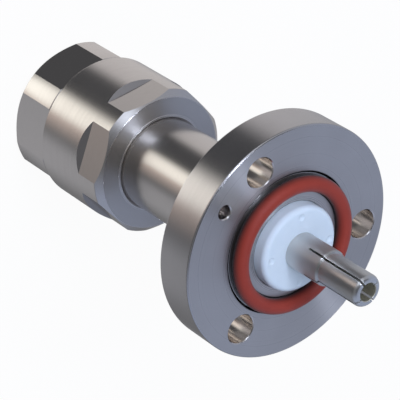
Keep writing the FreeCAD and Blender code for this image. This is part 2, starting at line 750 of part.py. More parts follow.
def cable_contact():
    """Contact with a slotted basket for the cable's hollow inner tube and a stud in front."""
    body = new_body("cable_contact")
    stud = size["stud_radius"]
    stud_end = rod_rear + size["stud_length"]
    stud_bevel = size["stud_bevel"]
    stop_rear = rod_rear - size["stop_length"]
    basket_rear = stop_rear - size["basket_length"]
    basket = size["basket_radius"]
    bulge = size["basket_bulge"]
    crest_rear = basket_rear + size["basket_nose"]
    crest_front = crest_rear + size["basket_crest"]
    bore_end = basket_rear + size["basket_bore_depth"]
    turned(body, "contact_turning", [
        (basket - size["basket_wall"], basket_rear),
        (basket - bulge, basket_rear),
        (basket + bulge, crest_rear),
        (basket + bulge, crest_front),
        (basket, crest_front + size["basket_nose"]),
        (basket, stop_rear),
        (size["stop_radius"], stop_rear),
        (size["stop_radius"], rod_rear),
        (stud, rod_rear),
        (stud, stud_end - stud_bevel),
        (stud - stud_bevel, stud_end),
        (ON_AXIS, stud_end),
        (ON_AXIS, bore_end),
        (basket - size["basket_wall"], bore_end),
    ])
    past_side = size["stop_radius"] + size["cut_margin"]
    slot_end = basket_rear + size["basket_slot_length"]
    slot = cut_across(body, "basket_slot", [
        (ON_AXIS, basket_rear - size["cut_margin"]),
        (past_side, basket_rear - size["cut_margin"]),
        (past_side, slot_end),
        (ON_AXIS, slot_end),
    ], size["basket_slot_width"])
    around_axis(body, "basket_slots", slot, size["basket_slot_count"])


flange_tube()
flange_seal_ring()
front_insulator()
inner_conductor()
body_sleeve()
back_nut()
rear_insulator()
retaining_ring()
outer_contact_ring()
for segment_number in range(1, int(size["clamp_count"].number) + 1):
    clamp_segment(segment_number)
segment_spring()
pressure_sleeve()
jacket_gasket()
body_seal_ring()
cable_contact()
doc.recompute()

for item in doc.Objects:
    if "Invalid" in item.State or "Error" in item.State:
        raise RuntimeError(item.Name + " can't be computed: " + item.getStatusString())

os.makedirs("parts", exist_ok=True)
for item in doc.Objects:
    if item.TypeId not in ("PartDesign::Body", "Part::Torus"):
        continue
    shape = item.Shape
    if shape.isNull() or not shape.isValid() or len(shape.Solids) != 1:
        raise RuntimeError(item.Label + " isn't one sound solid")
    shape.exportStep("parts/" + item.Label + ".step")
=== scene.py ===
import math

import bpy
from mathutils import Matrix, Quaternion, Vector


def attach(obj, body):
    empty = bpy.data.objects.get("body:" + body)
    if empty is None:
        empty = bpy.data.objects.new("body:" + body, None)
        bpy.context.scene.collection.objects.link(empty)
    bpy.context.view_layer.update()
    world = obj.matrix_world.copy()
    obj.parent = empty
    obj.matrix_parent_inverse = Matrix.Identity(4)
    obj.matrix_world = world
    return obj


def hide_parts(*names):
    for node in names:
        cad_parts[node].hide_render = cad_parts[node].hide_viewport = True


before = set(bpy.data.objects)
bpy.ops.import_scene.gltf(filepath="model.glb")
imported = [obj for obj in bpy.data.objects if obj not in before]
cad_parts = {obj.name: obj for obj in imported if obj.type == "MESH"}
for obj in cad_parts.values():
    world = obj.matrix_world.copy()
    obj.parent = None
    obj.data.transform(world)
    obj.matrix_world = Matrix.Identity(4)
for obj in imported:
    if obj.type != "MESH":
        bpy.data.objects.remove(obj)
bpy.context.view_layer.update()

# Flange tube
# The outer tube and the bolting flange: one brass forging, turned all over and then plated bright.
# Three bolt holes and one blind locating hole are drilled in the flange.

MM = 0.001
TURN = 2.0 * math.pi
ROUND_STEPS = 192
NECK_RADIUS = 11.5
NECK_TOP = 75.0
TUBE_OUTLINE = (
    (10.35, 32.0),
    (NECK_RADIUS, 32.0),
    (NECK_RADIUS, NECK_TOP),
    (28.275, NECK_TOP),
    (28.575, 75.3),
    (28.575, 84.7),
    (28.275, 85.0),
    (17.36, 85.0),
    (17.36, 83.2),
    (16.95, 83.2),
    (16.95, 84.6),
    (13.08, 84.6),
    (13.08, 85.68),
    (12.96, 85.8),
    (10.70, 85.8),
    (10.58, 85.68),
    (10.58, 78.0),
    (9.97, 78.0),
    (9.97, 38.5),
    (10.35, 38.5),
)
NECK_FILLET = 0.8
BOLT_CIRCLE_RADIUS = 22.225
BOLT_HOLE_COUNT = 3
BOLT_DRILL = (
    (0.0, 73.0),
    (5.77, 73.0),
    (3.57, 75.2),
    (3.57, 84.8),
    (5.77, 87.0),
    (0.0, 87.0),
)
LOCATING_CIRCLE_RADIUS = 23.0
LOCATING_ANGLE = 150.0
LOCATING_DRILL = (
    (0.0, 77.1),
    (1.6, 78.0),
    (1.6, 84.75),
    (2.85, 86.0),
    (0.0, 86.0),
)
BOLT_HOLE_STEPS = 72
SMALL_HOLE_STEPS = 48
TUBE_BREAK = 0.15
BREAK_SEGMENTS = 2
SHARP_ANGLE = 35.0
CRISP_ANGLE = 12.0
FILLET_SEGMENTS = 10
MERGE_WITHIN = 0.001
SAME_EDGE_WITHIN = 0.01
END_FACE_TILT = 0.9
RIM_FROM = 28.0
HOLES_FROM = 18.0
HOLES_TO = 26.6
FLANGE_REAR = 75.01
RELIEF_FROM = 16.9
RELIEF_TO = 17.4
RELIEF_BOTTOM = 80.0
RELIEF_TOP = 84.99


def linear(code):
    """Turns an sRGB hex colour into the linear colour that a socket takes."""
    parts = [int(code[at : at + 2], 16) / 255.0 for at in (1, 3, 5)]
    return [p / 12.92 if p <= 0.04045 else ((p + 0.055) / 1.055) ** 2.4 for p in parts] + [1.0]


def add_node(tree, kind, inputs=None, **settings):
    """Adds a node with its settings, and sets or links its inputs."""
    made = tree.nodes.new(kind)
    for setting, value in settings.items():
        setattr(made, setting, value)
    for socket, value in (inputs or {}).items():
        if isinstance(value, bpy.types.NodeSocket):
            tree.links.new(value, made.inputs[socket])
        else:
            made.inputs[socket].default_value = value
    return made


def new_material(name):
    """Adds an empty material and gives it with its node tree."""
    material = bpy.data.materials.new(name)
    material.use_nodes = True
    material.node_tree.nodes.clear()
    return material, material.node_tree


def turn_piece(name, outline, steps=ROUND_STEPS):
    """Draws a closed half outline by extruding one point, and spins it round the axis."""
    bpy.ops.object.select_all(action="DESELECT")
    bpy.ops.mesh.primitive_plane_add(size=MM, location=(0.0, 0.0, 0.0))
    piece = bpy.context.object
    piece.name = name
    piece.data.name = name
    bpy.ops.object.mode_set(mode="EDIT")
    bpy.ops.mesh.select_all(action="SELECT")
    bpy.ops.mesh.merge(type="CENTER")
    radius, height = outline[0]
    bpy.ops.transform.translate(value=(radius * MM, 0.0, height * MM))
    for next_radius, next_height in outline[1:] + outline[:1]:
        step = ((next_radius - radius) * MM, 0.0, (next_height - height) * MM)
        bpy.ops.mesh.extrude_region_move(TRANSFORM_OT_translate={"value": step})
        radius, height = next_radius, next_height
    bpy.ops.mesh.select_all(action="SELECT")
    bpy.ops.mesh.spin(steps=steps, angle=TURN, center=(0.0, 0.0, 0.0), axis=(0.0, 0.0, 1.0))
    bpy.ops.mesh.select_all(action="SELECT")
    bpy.ops.mesh.remove_doubles(threshold=MERGE_WITHIN * MM)
    bpy.ops.mesh.normals_make_consistent(inside=False)
    bpy.ops.object.mode_set(mode="OBJECT")
    return piece


def place_cutter(cutter, radius, angle, count):
    """Moves a cutter to a radius and angle in the plan, and repeats it evenly round the axis.

    With no window the rotate operator turns the other way, so it gets the angle with its sign changed.
    """
    bpy.ops.object.mode_set(mode="EDIT")
    bpy.ops.mesh.select_all(action="SELECT")
    bpy.ops.transform.translate(value=(radius * MM, 0.0, 0.0))
    bpy.ops.transform.rotate(
        value=-math.radians(angle), orient_axis="Z", center_override=(0.0, 0.0, 0.0)
    )
    if count > 1:
        bpy.ops.mesh.spin(
            steps=count - 1,
            dupli=True,
            angle=TURN * (count - 1) / count,
            center=(0.0, 0.0, 0.0),
            axis=(0.0, 0.0, 1.0),
        )
    bpy.ops.mesh.select_all(action="SELECT")
    bpy.ops.mesh.normals_make_consistent(inside=False)
    bpy.ops.object.mode_set(mode="OBJECT")
    return cutter


def make_active(piece):
    """Selects one piece alone for the operators."""
    bpy.ops.object.select_all(action="DESELECT")
    bpy.context.view_layer.objects.active = piece
    piece.select_set(True)


def round_rim(piece, radius, height, fillet):
    """Rounds the edge that runs round the axis at a radius and height."""
    make_active(piece)
    bpy.ops.object.mode_set(mode="EDIT")
    bpy.ops.mesh.select_mode(type="VERT")
    bpy.ops.mesh.select_all(action="DESELECT")
    bpy.ops.object.mode_set(mode="OBJECT")
    for point in piece.data.vertices:
        outward = math.hypot(point.co.x, point.co.y) - radius * MM
        upward = point.co.z - height * MM
        point.select = max(abs(outward), abs(upward)) < SAME_EDGE_WITHIN * MM
    bpy.ops.object.mode_set(mode="EDIT")
    bpy.ops.mesh.bevel(offset=fillet * MM, segments=FILLET_SEGMENTS, affect="EDGES")
    bpy.ops.object.mode_set(mode="OBJECT")


def break_edges(piece, width):
    """Breaks every sharp edge of a turned piece, as deburring on the lathe does."""
    make_active(piece)
    modifier = piece.modifiers.new("break", "BEVEL")
    modifier.width = width * MM
    modifier.segments = BREAK_SEGMENTS
    modifier.limit_method = "ANGLE"
    modifier.angle_limit = math.radians(SHARP_ANGLE)
    modifier.use_clamp_overlap = False
    bpy.ops.object.modifier_apply(modifier=modifier.name)


def cut_away(piece, cutter):
    """Takes a cutter away from a piece, and removes it."""
    make_active(piece)
    modifier = piece.modifiers.new("cut", "BOOLEAN")
    modifier.operation = "DIFFERENCE"
    modifier.solver = "EXACT"
    modifier.object = cutter
    bpy.ops.object.modifier_apply(modifier=modifier.name)
    bpy.data.objects.remove(cutter)


def shade_crisp(piece):
    """Shades round faces smooth and keeps every edge between a flat and a round face crisp."""
    make_active(piece)
    bpy.ops.object.shade_smooth_by_angle(angle=math.radians(CRISP_ANGLE))


def finish_faces(piece, finish, wanted):
    """Gives a finish to the faces whose radius and height in millimetres and normal are wanted."""
    piece.data.materials.append(finish)
    slot_index = len(piece.data.materials) - 1
    for face in piece.data.polygons:
        middle = face.center / MM
        if wanted(math.hypot(middle.x, middle.y), middle.z, face.normal):
            face.material_index = slot_index


def end_face(radius, height, normal):
    """Whether a face lies square to the axis, as the faces at the ends of a turned piece do."""
    return abs(normal.z) > END_FACE_TILT


# Real feed marks lie 0.05 to 0.1 mm apart, too fine to show here, so they are drawn 0.2 to 0.3 mm apart.
def lathe_marks(tree, place, groove, detail, roughness):
    """The feed marks of a lathe: a fine pattern that stays the same all round the axis."""
    split = add_node(tree, "ShaderNodeSeparateXYZ", {0: place.outputs["Object"]})
    flat = add_node(
        tree,
        "ShaderNodeCombineXYZ",
        {"X": split.outputs["X"], "Y": split.outputs["Y"]},
    )
    radius = add_node(
        tree, "ShaderNodeVectorMath", {0: flat.outputs[0]}, operation="LENGTH"
    )
    rings = add_node(
        tree,
        "ShaderNodeCombineXYZ",
        {"X": radius.outputs["Value"], "Y": split.outputs["Z"]},
    )
    return add_node(
        tree,
        "ShaderNodeTexNoise",
        {
            "Vector": rings.outputs[0],
            "Scale": 1.0 / (groove * MM),
            "Detail": detail,
            "Roughness": roughness,
        },
        noise_dimensions="2D",
    )


CLOUD_SIZE = 7.0
TURNED_DETAIL = 3.0
TURNED_BREAK_UP = 0.6
QUARTER_TURN = 0.25
HAZE_ROUGHNESS = 0.5


def turned_plate(name, colours, roughness, groove, depth, spread, haze=0.0):
    """A plated surface that was turned on a lathe, where fine rings spread the highlights across them.

    Spread is how far they do, and haze the share of light that the roughest of the rings throw widest.
    """
    material, tree = new_material(name)
    place = add_node(tree, "ShaderNodeTexCoord")
    cut = lathe_marks(tree, place, groove, TURNED_DETAIL, TURNED_BREAK_UP)
    cloud = add_node(
        tree,
        "ShaderNodeTexNoise",
        {"Vector": place.outputs["Object"], "Scale": 1.0 / (CLOUD_SIZE * MM), "Detail": 4.0},
    )
    tint = add_node(
        tree,
        "ShaderNodeMix",
        {0: cloud.outputs["Fac"], 6: linear(colours[0]), 7: linear(colours[1])},
        data_type="RGBA",
    )
    rough = add_node(
        tree,
        "ShaderNodeMapRange",
        {
            "Value": cut.outputs["Fac"],
            "From Min": 0.3,
            "From Max": 0.7,
            "To Min": roughness[0],
            "To Max": roughness[1],
        },
    )
    bump = add_node(
        tree,
        "ShaderNodeBump",
        {"Height": cut.outputs["Fac"], "Strength": 0.3, "Distance": depth * MM},
    )
    around = add_node(
        tree,
        "ShaderNodeVectorMath",
        {0: (0.0, 0.0, 1.0), 1: place.outputs["Object"]},
        operation="CROSS_PRODUCT",
    )
    plating = {
        "Base Color": tint.outputs[2],
        "Metallic": 1.0,
        "Anisotropic Rotation": QUARTER_TURN,
        "Tangent": around.outputs["Vector"],
        "Normal": bump.outputs["Normal"],
    }
    polish = add_node(
        tree,
        "ShaderNodeBsdfPrincipled",
        {**plating, "Roughness": rough.outputs["Result"], "Anisotropic": spread},
    )
    surface = polish.outputs[0]
    if haze:
        rough_rings = add_node(
            tree,
            "ShaderNodeBsdfPrincipled",
            {**plating, "Roughness": HAZE_ROUGHNESS, "Anisotropic": 1.0},
        )
        both = add_node(
            tree, "ShaderNodeMixShader", {0: haze, 1: surface, 2: rough_rings.outputs[0]}
        )
        surface = both.outputs[0]
    add_node(tree, "ShaderNodeOutputMaterial", {"Surface": surface})
    return material


CUTTER_STRETCH = (1.0, 1.0, 8.0)
CUTTER_DEPTH = 0.004


def cut_plate(name, colours, roughness, pitch):
    """A plated surface that a milling cutter or a drill left: an even satin with faint passes."""
    material, tree = new_material(name)
    place = add_node(tree, "ShaderNodeTexCoord")
    lie = add_node(
        tree,
        "ShaderNodeMapping",
        {"Vector": place.outputs["Object"], "Scale": CUTTER_STRETCH},
    )
    passes = add_node(
        tree,
        "ShaderNodeTexNoise",
        {"Vector": lie.outputs[0], "Scale": 1.0 / (pitch * MM), "Detail": 3.0},
    )
    tint = add_node(
        tree,
        "ShaderNodeMix",
        {0: passes.outputs["Fac"], 6: linear(colours[0]), 7: linear(colours[1])},
        data_type="RGBA",
    )
    rough = add_node(
        tree,
        "ShaderNodeMapRange",
        {"Value": passes.outputs["Fac"], "To Min": roughness[0], "To Max": roughness[1]},
    )
    bump = add_node(
        tree,
        "ShaderNodeBump",
        {"Height": passes.outputs["Fac"], "Strength": 0.2, "Distance": CUTTER_DEPTH * MM},
    )
    shader = add_node(
        tree,
        "ShaderNodeBsdfPrincipled",
        {
            "Base Color": tint.outputs[2],
            "Metallic": 1.0,
            "Roughness": rough.outputs["Result"],
            "Normal": bump.outputs["Normal"],
        },
    )
    add_node(tree, "ShaderNodeOutputMaterial", {"Surface": shader.outputs[0]})
    return material


PLATE_COLOURS = ("#e2dfdc", "#d8d5d2")
# Bright plating over turned brass: it mirrors the studio softly, in long bands down the tube.
turned_side = turned_plate(
    "turned_bright_plated_brass",
    PLATE_COLOURS,
    roughness=(0.22, 0.26),
    groove=0.25,
    depth=0.0008,
    spread=0.15,
)
# The rim had a finer last cut under the same plating, so its bands have crisper edges.
turned_rim = turned_plate(
    "turned_plated_brass_rim",
    ("#dbdadb", "#d1d0d1"),
    roughness=(0.2, 0.24),
    groove=0.25,
    depth=0.0008,
    spread=0.1,
)
# The plated face keeps the rings of the facing cut, which draw each light out into a fan from the middle.
turned_face = turned_plate(
    "faced_bright_plated_brass",
    PLATE_COLOURS,
    roughness=(0.27, 0.31),
    groove=0.25,
    depth=0.0008,
    spread=0.8,
    haze=0.3,
)
# The narrow relief beside the seal ring is drawn in dark, dull plating: painted shade for the shadow down
# in that slot.
relief_painted_shade = turned_plate(
    "plated_brass_relief_painted_shade",
    ("#4b4846", "#3d3b3a"),
    roughness=(0.3, 0.36),
    groove=0.25,
    depth=0.0008,
    spread=0.1,
)
# Plating in a drilled and reamed hole: an even satin that runs from light to dark round the wall.
drilled_plating = cut_plate(
    "drilled_bright_plated_brass", ("#f0ebe7", "#e8e3df"), roughness=(0.17, 0.21), pitch=6.0
)

tube = turn_piece("flange_tube_turned", TUBE_OUTLINE)
round_rim(tube, NECK_RADIUS, NECK_TOP, NECK_FILLET)
break_edges(tube, TUBE_BREAK)
bolt_drill = turn_piece("bolt_drill", BOLT_DRILL, BOLT_HOLE_STEPS)
cut_away(tube, place_cutter(bolt_drill, BOLT_CIRCLE_RADIUS, 0.0, BOLT_HOLE_COUNT))
locating_drill = turn_piece("locating_drill", LOCATING_DRILL, SMALL_HOLE_STEPS)
cut_away(tube, place_cutter(locating_drill, LOCATING_CIRCLE_RADIUS, LOCATING_ANGLE, 1))
shade_crisp(tube)
tube.data.materials.append(turned_side)
finish_faces(tube, turned_face, end_face)
finish_faces(
    tube,
    turned_rim,
    lambda radius, height, normal: radius > RIM_FROM and abs(normal.z) < END_FACE_TILT,
)
finish_faces(
    tube,
    drilled_plating,
    lambda radius, height, normal: HOLES_FROM < radius < HOLES_TO
    and height > FLANGE_REAR
    and abs(normal.z) < END_FACE_TILT,
)
# The relief's faces get the painted shade: a dark plating colour in the slot.
finish_faces(
    tube,
    relief_painted_shade,
    lambda radius, height, normal: RELIEF_FROM < radius < RELIEF_TO
    and RELIEF_BOTTOM < height < RELIEF_TOP,
)
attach(tube, "root")
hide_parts("flange_tube")

# Flange seal ring
# A red silicone ring of round section, moulded, pressed into the groove in the flange face.
# The mould's parting line shows as a faint flash round its outside.

SEAL_RADIUS = 14.96
SEAL_SECTION = 1.86
SEAL_OUTSIDE = SEAL_RADIUS + SEAL_SECTION
SEAL_HEIGHT = 86.48
SEAL_SECTION_STEPS = 48
FLASH_HEIGHT = 0.05
FLASH_WITHIN = 0.01

bpy.ops.object.select_all(action="DESELECT")
bpy.ops.mesh.primitive_torus_add(
    major_segments=ROUND_STEPS,
    minor_segments=SEAL_SECTION_STEPS,
    major_radius=SEAL_RADIUS * MM,
    minor_radius=SEAL_SECTION * MM,
    location=(0.0, 0.0, 0.0),
)
seal = bpy.context.object
seal.name = "flange_seal_ring_moulded"
bpy.ops.object.mode_set(mode="EDIT")
bpy.ops.mesh.select_all(action="SELECT")
bpy.ops.transform.translate(value=(0.0, 0.0, SEAL_HEIGHT * MM))
bpy.ops.mesh.select_mode(type="VERT")
bpy.ops.mesh.select_all(action="DESELECT")
bpy.ops.object.mode_set(mode="OBJECT")
for point in seal.data.vertices:
    point.select = math.hypot(point.co.x, point.co.y) > (SEAL_OUTSIDE - FLASH_WITHIN) * MM
bpy.ops.object.mode_set(mode="EDIT")
flash = 1.0 + FLASH_HEIGHT / SEAL_OUTSIDE
bpy.ops.transform.resize(value=(flash, flash, 1.0), center_override=(0.0, 0.0, 0.0))
bpy.ops.object.mode_set(mode="OBJECT")
bpy.ops.object.shade_smooth()


# The pebble that a mould leaves is finer than 0.1 mm, so it is drawn coarser to show at all.
PEBBLE_SIZE = 0.35
PATCH_SIZE = 4.0
PEBBLE_DEPTH = 0.02


def moulded_rubber(name, colours, roughness, sheen, seat=None):
    """Rubber from a mould: a satin skin with a fine pebble, in slightly uneven tones.

    Seat gives the height below which the rubber is painted fully dark, the height above which it keeps its
    own colour, and the dark colour: painted shade for the shadow low on the ring in its groove.
    """
    material, tree = new_material(name)
    place = add_node(tree, "ShaderNodeTexCoord")
    pebble = add_node(
        tree,
        "ShaderNodeTexNoise",
        {"Vector": place.outputs["Object"], "Scale": 1.0 / (PEBBLE_SIZE * MM), "Detail": 3.0},
    )
    patch = add_node(
        tree,
        "ShaderNodeTexNoise",
        {"Vector": place.outputs["Object"], "Scale": 1.0 / (PATCH_SIZE * MM), "Detail": 3.0},
    )
    tint = add_node(
        tree,
        "ShaderNodeMix",
        {0: patch.outputs["Fac"], 6: linear(colours[0]), 7: linear(colours[1])},
        data_type="RGBA",
    )
    colour = tint.outputs[2]
    # Painted shade: below the seat heights the colour turns to a dark colour, darker towards the bottom.
    if seat:
        split = add_node(tree, "ShaderNodeSeparateXYZ", {0: place.outputs["Object"]})
        rise = add_node(
            tree,
            "ShaderNodeMapRange",
            {"Value": split.outputs["Z"], "From Min": seat[0] * MM, "From Max": seat[1] * MM},
            interpolation_type="SMOOTHSTEP",
        )
        low_painted_shade = add_node(
            tree,
            "ShaderNodeMix",
            {0: rise.outputs["Result"], 6: linear(seat[2]), 7: colour},
            data_type="RGBA",
        )
        colour = low_painted_shade.outputs[2]
    rough = add_node(
        tree,
        "ShaderNodeMapRange",
        {"Value": pebble.outputs["Fac"], "To Min": roughness[0], "To Max": roughness[1]},
    )
    bump = add_node(
        tree,
        "ShaderNodeBump",
        {"Height": pebble.outputs["Fac"], "Strength": 0.25, "Distance": PEBBLE_DEPTH * MM},
    )
    shader = add_node(
        tree,
        "ShaderNodeBsdfPrincipled",
        {
            "Base Color": colour,
            "Roughness": rough.outputs["Result"],
            "Sheen Weight": sheen,
            "Normal": bump.outputs["Normal"],
        },
    )
    add_node(tree, "ShaderNodeOutputMaterial", {"Surface": shader.outputs[0]})
    return material


# Painted shade on the seal ring: the heights in mm where it fades out, and its dark colour.
SEAT_PAINTED_SHADE = (85.5, 88.3, "#2c0f0c")
# Moulded silicone: satin brick red, with painted shade low down where it sits in its groove, darker
# towards the bottom.
red_silicone = moulded_rubber(
    "moulded_red_silicone",
    ("#933020", "#a23a29"),
    roughness=(0.42, 0.6),
    sheen=0.1,
    seat=SEAT_PAINTED_SHADE,
)
seal.data.materials.append(red_silicone)
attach(seal, "root")
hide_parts("flange_seal_ring")

# Insulators
# Two white fluoropolymer beads hold the inner conductor in the middle of the tube.
# They are turned from rod; the front one has four small blind dimples in its face.

INSULATOR_RADIUS = 10.5
INSULATOR_FACE = 89.1
INSULATOR_OUTLINE = (
    (4.33, 78.0),
    (INSULATOR_RADIUS, 78.0),
    (INSULATOR_RADIUS, INSULATOR_FACE),
    (4.33, INSULATOR_FACE),
)
INSULATOR_FILLET = 1.3
INSULATOR_STEPS = 144
DIMPLE_CIRCLE_RADIUS = 8.3
DIMPLE_ANGLE = 7.0
DIMPLE_COUNT = 4
DIMPLE_STEPS = 48
DIMPLE_CUTTER = (
    (0.0, 88.86),
    (0.3, 88.87),
    (0.55, 88.92),
    (0.75, 89.0),
    (0.9, 89.1),
    (1.05, 89.3),
    (0.0, 89.3),
)


POLYMER_CLOUD_SIZE = 3.0
POLYMER_GROOVE = 0.3
POLYMER_GROOVE_DEPTH = 0.02
POLYMER_IOR = 1.36
POLYMER_DEPTH = 1.0


def turned_polymer(name, colours):
    """Fluoropolymer rod turned to size: waxy, with faint rings from the tool, and a little see-through."""
    material, tree = new_material(name)
    place = add_node(tree, "ShaderNodeTexCoord")
    cloud = add_node(
        tree,
        "ShaderNodeTexNoise",
        {"Vector": place.outputs["Object"], "Scale": 1.0 / (POLYMER_CLOUD_SIZE * MM), "Detail": 3.0},
    )
    tint = add_node(
        tree,
        "ShaderNodeMix",
        {0: cloud.outputs["Fac"], 6: linear(colours[0]), 7: linear(colours[1])},
        data_type="RGBA",
    )
    cut = lathe_marks(tree, place, POLYMER_GROOVE, detail=2.0, roughness=0.5)
    bump = add_node(
        tree,
        "ShaderNodeBump",
        {"Height": cut.outputs["Fac"], "Strength": 0.2, "Distance": POLYMER_GROOVE_DEPTH * MM},
    )
    shader = add_node(
        tree,
        "ShaderNodeBsdfPrincipled",
        {
            "Base Color": tint.outputs[2],
            "Roughness": 0.5,
            "IOR": POLYMER_IOR,
            "Subsurface Weight": 0.2,
            "Subsurface Radius": (1.0, 0.9, 0.8),
            "Subsurface Scale": POLYMER_DEPTH * MM,
            "Normal": bump.outputs["Normal"],
        },
    )
    add_node(tree, "ShaderNodeOutputMaterial", {"Surface": shader.outputs[0]})
    return material


# Turned fluoropolymer: a waxy white that lets a little light in and shows only soft highlights.
white_polymer = turned_polymer("turned_white_fluoropolymer", ("#e5f0f5", "#dce8ee"))
insulator = turn_piece("front_insulator_turned", INSULATOR_OUTLINE, INSULATOR_STEPS)
round_rim(insulator, INSULATOR_RADIUS, INSULATOR_FACE, INSULATOR_FILLET)
dimple_cutter = turn_piece("dimple_cutter", DIMPLE_CUTTER, DIMPLE_STEPS)
cut_away(insulator, place_cutter(dimple_cutter, DIMPLE_CIRCLE_RADIUS, DIMPLE_ANGLE, DIMPLE_COUNT))
shade_crisp(insulator)
insulator.data.materials.append(white_polymer)
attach(insulator, "root")
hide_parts("front_insulator")


def finish_solid(node_name, finish):
    """Gives a solid that is kept as it is one finish all over."""
    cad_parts[node_name].data.materials.clear()
    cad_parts[node_name].data.materials.append(finish)


finish_solid("rear_insulator", white_polymer)

# Inner conductor
# The centre pin: a silver-plated brass rod, stepped down to the mating diameter, bored at its tip.
# Four saw cuts make spring fingers of the tip, and a stud hole is tapped in its rear end.

PIN_RADIUS = 3.85
PIN_END = 111.7
ROD_OUTLINE = (
    (0.0, 37.8),
    (2.1, 37.0),
    (2.1, 30.0),
    (4.03, 30.0),
    (4.33, 30.3),
    (4.33, 32.8),
    (3.7, 32.8),
    (3.7, 38.5),
    (4.33, 38.5),
    (4.33, 99.0),
    (4.03, 99.3),
    (PIN_RADIUS, 99.3),
    (PIN_RADIUS, PIN_END),
    (2.35, PIN_END),
    (2.2, 111.55),
    (2.2, 92.7),
    (0.0, 91.4),
)
TIP_FILLET = 1.25
ROD_STEPS = 128
SAW_WIDTH = 0.5
SAW_REACH = 12.0
SAW_START = 94.5
SAW_END = 113.0
SAW_ANGLE = 38.0
BORE_WALL = 2.3
BORE_FROM = 91.0
RUBBED_FROM = 99.2


def saw_blade(start, end, width, reach):
    """A thin blade right across the axis, from start to end."""
    bpy.ops.object.select_all(action="DESELECT")
    bpy.ops.mesh.primitive_cube_add(size=1.0, location=(0.0, 0.0, 0.0))
    blade = bpy.context.object
    bpy.ops.object.mode_set(mode="EDIT")
    bpy.ops.mesh.select_all(action="SELECT")
    bpy.ops.transform.resize(value=(reach * MM, width * MM, (end - start) * MM))
    bpy.ops.transform.translate(value=(0.0, 0.0, 0.5 * (start + end) * MM))
    bpy.ops.object.mode_set(mode="OBJECT")
    return blade


rod = turn_piece("inner_conductor_turned", ROD_OUTLINE, ROD_STEPS)
round_rim(rod, PIN_RADIUS, PIN_END, TIP_FILLET)
for angle in (SAW_ANGLE, SAW_ANGLE + 90.0):
    blade = saw_blade(SAW_START, SAW_END, SAW_WIDTH, SAW_REACH)
    cut_away(rod, place_cutter(blade, 0.0, angle, 1))
shade_crisp(rod)
# Silver plating as it leaves the bath, over a turned rod: pale and matt, with broad soft tones.
silver = turned_plate(
    "turned_silver_plate",
    ("#e0dfdb", "#d7d6d2"),
    roughness=(0.36, 0.4),
    groove=0.2,
    depth=0.0008,
    spread=0.8,
)
# The mating end is rubbed bright by its socket, so the same silver shows clear streaks there.
rubbed_silver = turned_plate(
    "rubbed_silver_plate",
    ("#f5f6f5", "#ecedec"),
    roughness=(0.21, 0.25),
    groove=0.2,
    depth=0.0008,
    spread=0.5,
    haze=0.35,
)
# Nothing rubs the silver in the bore: it stays matt and has yellowed a little.
bored_silver = turned_plate(
    "bored_silver_plate",
    ("#f4f1e0", "#eae7d6"),
    roughness=(0.5, 0.55),
    groove=0.2,
    depth=0.0015,
    spread=0.1,
)
rod.data.materials.append(silver)
finish_faces(
    rod,
    rubbed_silver,
    lambda radius, height, normal: radius > BORE_WALL and height > RUBBED_FROM,
)
finish_faces(
    rod,
    bored_silver,
    lambda radius, height, normal: radius < BORE_WALL and height > BORE_FROM,
)
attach(rod, "root")
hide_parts("inner_conductor")

# Body sleeve
# The wrench body of the cable end: turned and plated brass, with the neck tube in its mouth.
# Six wrench flats are milled at its front. They run out in a ramp towards the rear, so the turned band
# behind them stays round.

SLEEVE_FRONT = 37.0
SLEEVE_OUTLINE = (
    (16.6, 13.2),
    (18.15, 13.2),
    (18.4, 13.45),
    (18.4, 35.5),
    (16.8, SLEEVE_FRONT),
    (12.42, SLEEVE_FRONT),
    (12.3, 37.2),
    (12.12, 37.3),
    (11.92, 37.24),
    (11.5, 36.6),
    (11.5, 32.0),
    (14.7, 32.0),
    (14.7, 24.0),
    (16.0, 24.0),
    (16.0, 15.4),
    (16.6, 15.4),
)
SLEEVE_BREAK = 0.1
FLAT_COUNT = 6
FLAT_PITCH = 360.0 / FLAT_COUNT
FLAT_HALF_WIDTH = 9.5
SQUARE_WITHIN = 0.01
ANGLE_WITHIN = 0.2
SLEEVE_FLAT_DISTANCE = 17.15
SLEEVE_FLAT_ANGLE = 47.0
SLEEVE_FLAT_START = 29.0
SLEEVE_RAMP = 1.15
CUT_DEPTH = 3.0
CUT_OVERRUN = 1.0
SLEEVE_CUT = (
    (SLEEVE_FLAT_DISTANCE, SLEEVE_FLAT_START),
    (SLEEVE_FLAT_DISTANCE + CUT_DEPTH, SLEEVE_FLAT_START - CUT_DEPTH * SLEEVE_RAMP),
    (SLEEVE_FLAT_DISTANCE + CUT_DEPTH, SLEEVE_FRONT + CUT_OVERRUN),
    (SLEEVE_FLAT_DISTANCE, SLEEVE_FRONT + CUT_OVERRUN),
)
SLEEVE_FLAT_INSIDE = 17.1
RAMP_BOTTOM = 26.0
RAMP_INSIDE = 16.8
RAMP_TILT = 0.5


def flat_cutter(points, reach):
    """A cutter whose outline, in distance and height, is drawn across a wrench flat."""
    bpy.ops.object.select_all(action="DESELECT")
    bpy.ops.mesh.primitive_plane_add(size=MM, location=(0.0, 0.0, 0.0))
    cutter = bpy.context.object
    bpy.ops.object.mode_set(mode="EDIT")
    bpy.ops.mesh.select_all(action="SELECT")
    bpy.ops.mesh.merge(type="CENTER")
    radius, height = points[0]
    bpy.ops.transform.translate(value=(radius * MM, -reach * MM, height * MM))
    for next_radius, next_height in points[1:] + points[:1]:
        step = ((next_radius - radius) * MM, 0.0, (next_height - height) * MM)
        bpy.ops.mesh.extrude_region_move(TRANSFORM_OT_translate={"value": step})
        radius, height = next_radius, next_height
    bpy.ops.mesh.select_all(action="SELECT")
    bpy.ops.mesh.remove_doubles(threshold=MERGE_WITHIN * MM)
    bpy.ops.mesh.select_all(action="SELECT")
    bpy.ops.mesh.edge_face_add()
    bpy.ops.mesh.extrude_region_move(
        TRANSFORM_OT_translate={"value": (0.0, 2.0 * reach * MM, 0.0)}
    )
    bpy.ops.object.mode_set(mode="OBJECT")
    return cutter


